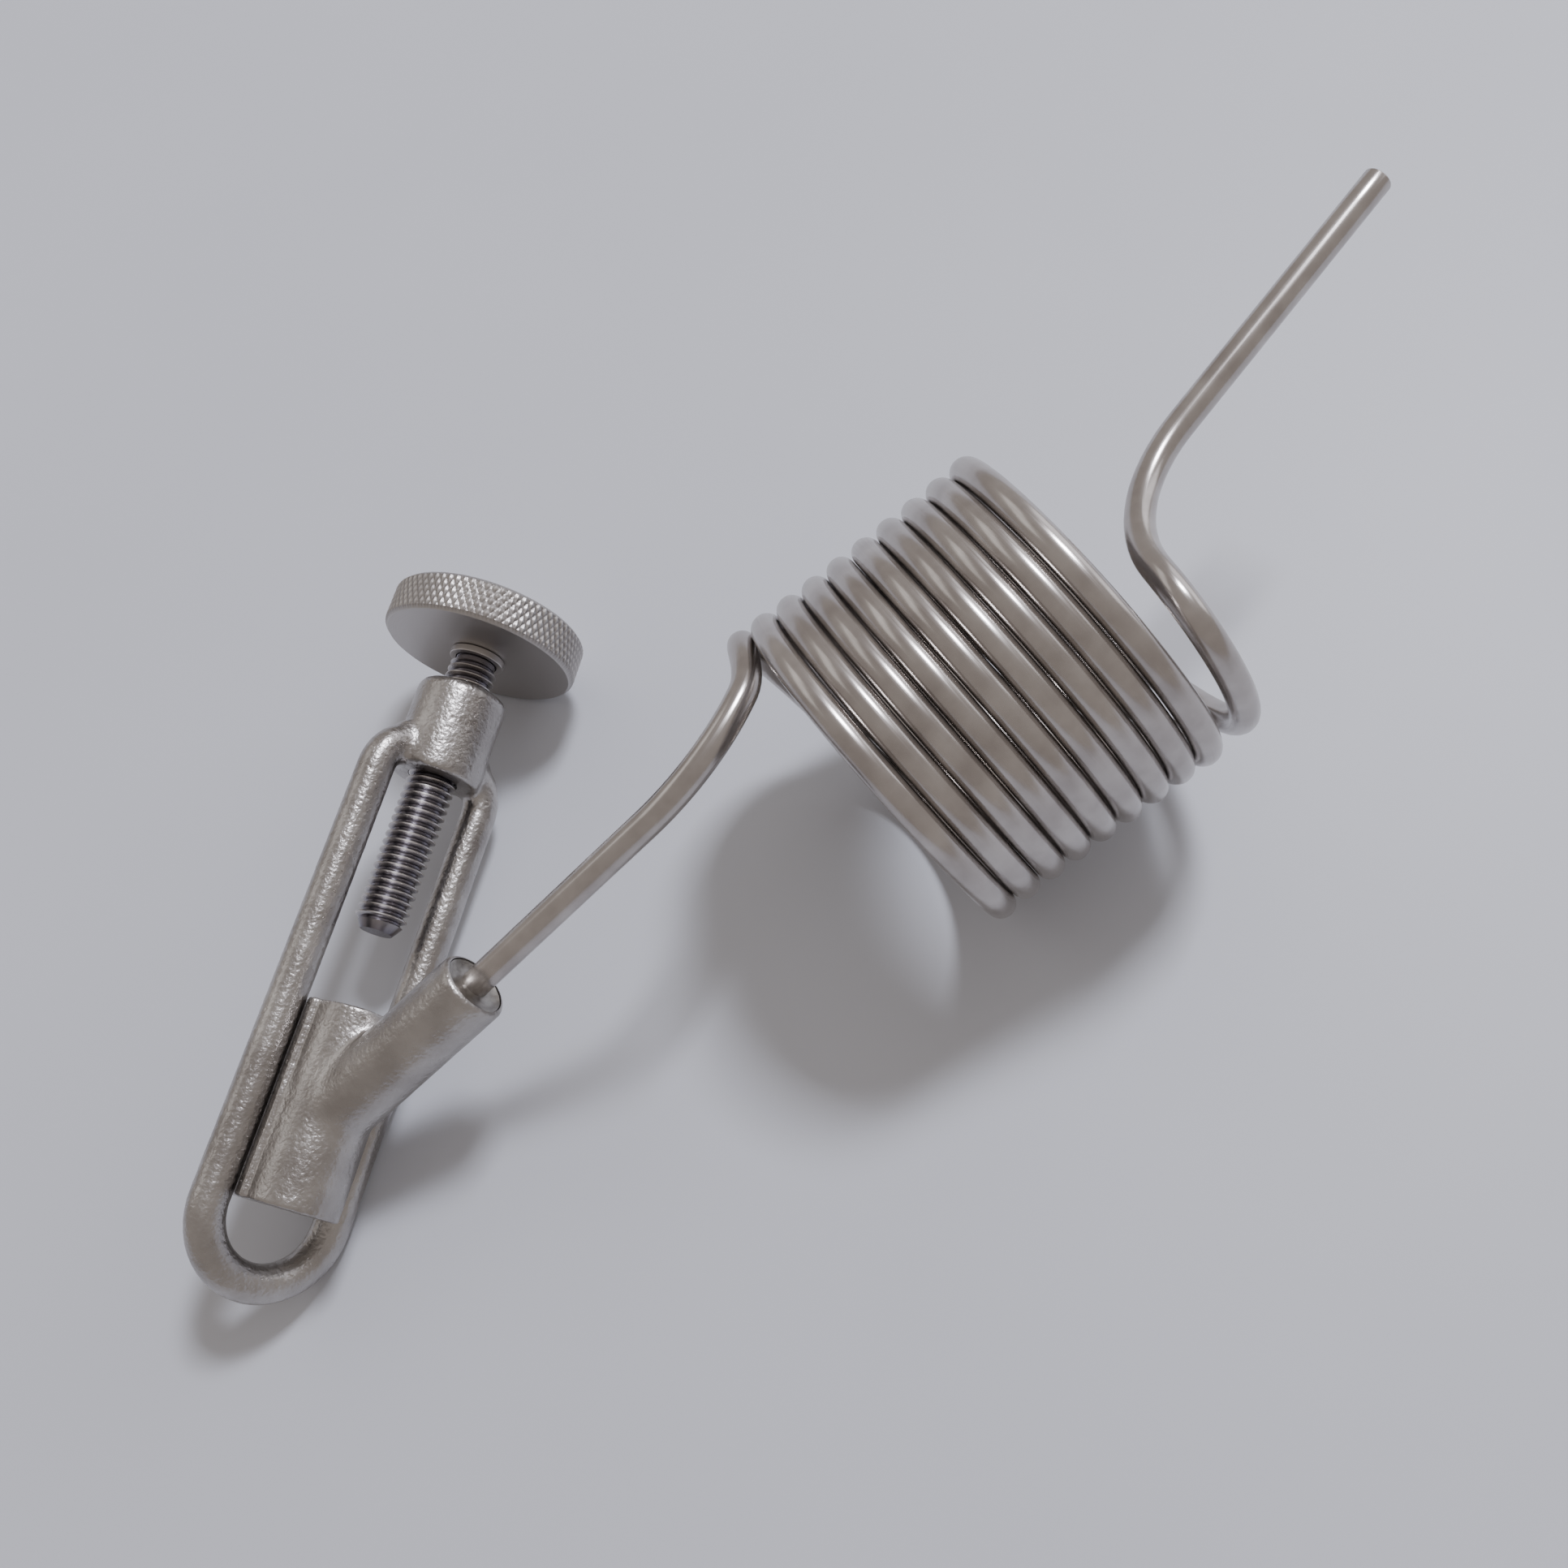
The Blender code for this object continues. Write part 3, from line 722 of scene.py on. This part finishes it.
def socket_piece(material):
    """The jaw drawn along x, with the branch fused to it and bored at its mouth."""
    bm = bmesh.new()
    section = bm.faces.new([bm.verts.new((JAW_START_X, point.x, point.y)) for point in saddle_outline()])
    pulled = bmesh.ops.extrude_face_region(bm, geom=[section])["geom"]
    moved = [item for item in pulled if isinstance(item, bmesh.types.BMVert)]
    bmesh.ops.translate(bm, verts=moved, vec=(JAW_END_X - JAW_START_X, 0, 0))
    bmesh.ops.recalc_face_normals(bm, faces=bm.faces)
    branch = rounded([(BRANCH_LENGTH, 0.0), (BRANCH_LENGTH, BRANCH_RADIUS), (0.0, BRANCH_RADIUS),
                      (0.0, 0.0)], 0.7 * MM, 6)
    join(bm, turned(branch, 64, BRANCH))
    obj = fused("sliding_y_socket", bm, JAW_GRAIN)
    inverse = np.array(BRANCH.inverted())

    def root(places):
        local = places @ inverse[:3, :3].T + inverse[:3, 3]
        to_branch = np.abs(np.hypot(local[:, 1], local[:, 2]) - BRANCH_RADIUS)
        to_jaw = np.abs(np.hypot(places[:, 1], places[:, 2] - JAW_RISE) - JAW_RADIUS)
        weight = 1.5 - np.maximum(to_branch, to_jaw) / (1.4 * MM)
        return weight * (local[:, 0] < BRANCH_LENGTH - 4 * MM) * (places[:, 2] > SADDLE_TOP)

    soften(obj, root, 90)
    soften_all(obj, 4)
    cast_relief(obj, PEBBLE_WIDTH, 0.024 * MM)
    mouth = rounded([(BRANCH_LENGTH + 1 * MM, MOUTH_RADIUS + 0.35 * MM),
                     (BRANCH_LENGTH, MOUTH_RADIUS + 0.05 * MM), (BRANCH_LENGTH - MOUTH_DEPTH, MOUTH_RADIUS),
                     (BRANCH_LENGTH - MOUTH_DEPTH, 0.0)], 0.3 * MM)
    cutter = turned([(BRANCH_LENGTH + 1 * MM, 0.0)] + mouth, 64, BRANCH)
    boolean(obj, new_object("mouth", cutter), "DIFFERENCE")
    places = points_of(obj)
    local = places @ inverse[:3, :3].T + inverse[:3, 3]
    reach = np.hypot(local[:, 1], local[:, 2])
    along = np.clip((local[:, 0] - 2 * MM) / (6 * MM), 0, 1)
    near = np.clip((7 * MM - reach) / (2 * MM), 0, 1)
    attribute(obj, "heat", along * near * 0.85)
    show(smooth(to_world(obj)), material, "jaw", "cast_steel", "y_socket")


def braze_piece(material):
    """Braze dished from the rim, climbing a little up the rod."""
    world = YOKE @ BRANCH
    to_local = world.inverted()
    rod_way = (INNER_BEND - SOCKET_END).normalized()
    start = to_local @ SOCKET_END
    way = to_local.to_3x3() @ rod_way
    foot = start + way * ((BRAZE_LEVEL - start.x) / way.x)
    rim = MOUTH_RADIUS - 0.03 * MM
    rings = 26
    profile = [(BRAZE_LEVEL, rim * index / rings) for index in range(rings + 1)]
    bm = turned(profile + [(BRAZE_LEVEL - 1.0 * MM, rim), (BRAZE_LEVEL - 1.0 * MM, 0.0)], 64)
    for vert in bm.verts:
        if vert.co.x < BRAZE_LEVEL - 0.5 * MM:
            continue
        flat = Vector((0.0, vert.co.y, vert.co.z))
        share = flat.length / rim
        rod_gap = max((flat - Vector((0.0, foot.y, foot.z))).length - ROD_RADIUS, 0.0)
        climb = 0.14 * MM * math.exp(-rod_gap / (0.7 * MM))
        wrinkle = 0.03 * MM * noise.noise(vert.co / (0.8 * MM))
        vert.co.x += BRAZE_RISE * share ** 3 + climb + wrinkle
    obj = new_object("braze_dish", bm)
    show(smooth(to_world(obj, world)), material, "jaw", "braze", "socket_braze")


def rod_piece(material):
    """One length of wire; its first stretch is warm from the brazing, and its route bends into and out of
    the coil.
    """
    obj = new_object("spring_rod", cap_ends(swept(rod_route(), ROD_RADIUS, 28), 0.14 * MM))
    places = points_of(obj)
    run = np.linalg.norm(places - np.array(SOCKET_END), axis=1)
    before_coil = places[:, 0] < -1 * MM
    attribute(obj, "heat", np.clip(1 - (run - 8 * MM) / (40 * MM), 0, 1) * before_coil)
    show(smooth(obj, 50), material, None, "drawn_wire", "coil_spring", "spring_arm")
    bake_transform(obj)


# ---------------------------------------------------------------- floor, light, camera

def studio():
    bm = bmesh.new()
    bmesh.ops.create_grid(bm, x_segments=1, y_segments=1, size=1.5)
    floor = new_object("floor", bm)
    floor.data.materials.append(matt_floor())

    def panel(name, azimuth, elevation, distance, size, power, tint="#FFFFFF"):
        data = bpy.data.lights.new(name, "AREA")
        data.shape = "RECTANGLE"
        data.size, data.size_y = size
        data.energy = power
        data.color = linear(tint)[:3]
        lamp = bpy.data.objects.new(name, data)
        bpy.context.scene.collection.objects.link(lamp)
        turn = Euler((math.radians(90 - elevation), 0.0, math.radians(azimuth + 90)))
        lamp.matrix_world = turn.to_matrix().to_4x4() @ Matrix.Translation((0.0, 0.0, distance))

    panel("key", 25, 57, 1.8, (0.34, 0.34), 27.0, "#F2F4FF")
    panel("side", 15, 22, 1.8, (1.6, 0.9), 6.0, "#F4F6FF")
    panel("back", 120, 40, 1.8, (1.4, 0.6), 2.0)
    world = bpy.data.worlds.new("studio")
    world.use_nodes = True
    world.node_tree.nodes["Background"].inputs["Color"].default_value = linear("#D6CDC7")
    world.node_tree.nodes["Background"].inputs["Strength"].default_value = 0.65
    bpy.context.scene.world = world


def camera():
    data = bpy.data.cameras.new("camera")
    data.sensor_width = 36.0
    data.lens = 36.06
    data.clip_start = 0.01
    holder = bpy.data.objects.new("camera", data)
    bpy.context.scene.collection.objects.link(holder)
    holder.location = Vector((-19.19, -90.72, 169.73)) * MM
    holder.rotation_euler = Euler((math.radians(26.15), math.radians(9.42), math.radians(-30.18)))
    bpy.context.scene.camera = holder


def build():
    camera()
    studio()
    yoke_piece(blasted_castings("blasted_cast_stainless", False))
    # In both turned steels the first colour is painted shade for thread roots, knurl grooves and the
    # collar's bore; the second is the tone on crests.
    stud_piece(turned_steel("rolled_thread_stainless", "#77737A", "#C2BEBC", 0.28, 0.06 * MM))
    satin = turned_steel("satin_turned_stainless", "#8F8B88", "#C2BEBB", 0.40, 0.10 * MM)
    knob_piece(satin)
    collar_piece(satin)
    socket_piece(blasted_castings("blasted_cast_stainless_heat_tinted", True))
    braze_piece(silver_braze())
    rod_piece(drawn_wire())


build()
